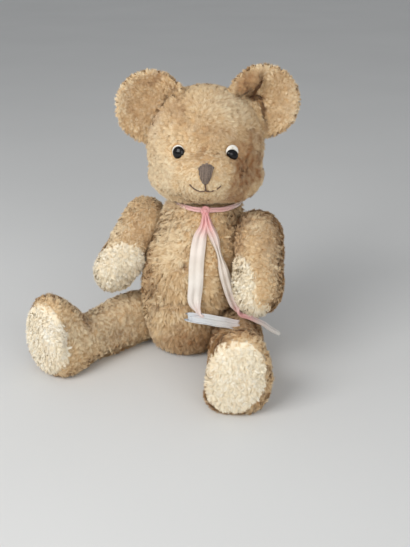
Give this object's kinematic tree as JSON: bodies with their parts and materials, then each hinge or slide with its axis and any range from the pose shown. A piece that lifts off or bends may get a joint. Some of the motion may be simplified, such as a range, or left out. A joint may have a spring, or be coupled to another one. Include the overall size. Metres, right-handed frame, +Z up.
{
  "type": "threadbare teddy bear",
  "caption": "Worn, sitting teddy bear of matted tan plush with cream pads, a stitched nose and a ribbon round its neck; head, arms and legs turn on disc joints.",
  "frame": {"origin": "middle of the flat seat under the torso, on the floor", "axes": "+Z up, -Y is the way the belly faces, +X is the bear's own left"},
  "size_m": [0.2384, 0.1881, 0.2711],
  "materials": {
    "tan_plush": "matted worn pile",
    "cream_plush": "matted worn pile",
    "ribbon": "satin",
    "brown_thread": "twisted thread",
    "eye_black": "gloss",
    "eye_white": "satin",
    "hardboard": "pressed board",
    "steel": "plain wire"
  },
  "bodies": {
    "torso": {"torso": "tan_plush", "neck_ribbon": "ribbon", "neck_inner_disc": "hardboard", "neck_inner_washer": "steel", "neck_split_pin": "steel", "left_shoulder_inner_disc": "hardboard", "left_shoulder_inner_washer": "steel", "left_shoulder_split_pin": "steel", "right_shoulder_inner_disc": "hardboard", "right_shoulder_inner_washer": "steel", "right_shoulder_split_pin": "steel", "left_hip_inner_disc": "hardboard", "left_hip_inner_washer": "steel", "left_hip_split_pin": "steel", "right_hip_inner_disc": "hardboard", "right_hip_inner_washer": "steel", "right_hip_split_pin": "steel"},
    "head": {"head": "tan_plush", "left_ear": "tan_plush", "right_ear": "tan_plush", "left_eye_white": "eye_white", "left_eye_pupil": "eye_black", "left_eye_washer": "eye_white", "right_eye_white": "eye_white", "right_eye_pupil": "eye_black", "right_eye_washer": "eye_white", "nose_stitching": "brown_thread", "mouth_stitch_centre": "brown_thread", "mouth_stitch_left": "brown_thread", "mouth_stitch_right": "brown_thread", "neck_outer_disc": "hardboard", "neck_outer_washer": "steel"},
    "left_arm": {"left_arm": "tan_plush", "left_paw_pad": "cream_plush", "left_shoulder_outer_disc": "hardboard", "left_shoulder_outer_washer": "steel"},
    "left_leg": {"left_leg": "tan_plush", "left_sole_pad": "cream_plush", "left_hip_outer_disc": "hardboard", "left_hip_outer_washer": "steel"},
    "right_arm": {"right_arm": "tan_plush", "right_paw_pad": "cream_plush", "right_shoulder_outer_disc": "hardboard", "right_shoulder_outer_washer": "steel"},
    "right_leg": {"right_leg": "tan_plush", "right_sole_pad": "cream_plush", "right_hip_outer_disc": "hardboard", "right_hip_outer_washer": "steel"}
  },
  "joints": [
    {"name": "neck_turn", "type": "hinge", "parent": "torso", "child": "head", "pos_m": [0.01409, 0.01435, 0.149], "axis": [0, 0, 1], "continuous": true},
    {"name": "left_shoulder_swing", "type": "hinge", "parent": "torso", "child": "left_arm", "pos_m": [0.05187, 0.01107, 0.115], "axis": [-0.9272, 0, -0.3746], "range_deg": [-40, 60]},
    {"name": "right_shoulder_swing", "type": "hinge", "parent": "torso", "child": "right_arm", "pos_m": [-0.03013, 0.01107, 0.115], "axis": [-0.9272, 0, 0.3746], "range_deg": [-20, 80]},
    {"name": "left_hip_swing", "type": "hinge", "parent": "torso", "child": "left_leg", "pos_m": [0.032, -0.01, 0.02676], "axis": [0.9354, 0.286, -0.2079], "range_deg": [0, 90]},
    {"name": "right_hip_swing", "type": "hinge", "parent": "torso", "child": "right_leg", "pos_m": [-0.032, -0.01, 0.02676], "axis": [0.9004, -0.3822, 0.2079], "range_deg": [0, 90]}
  ]
}
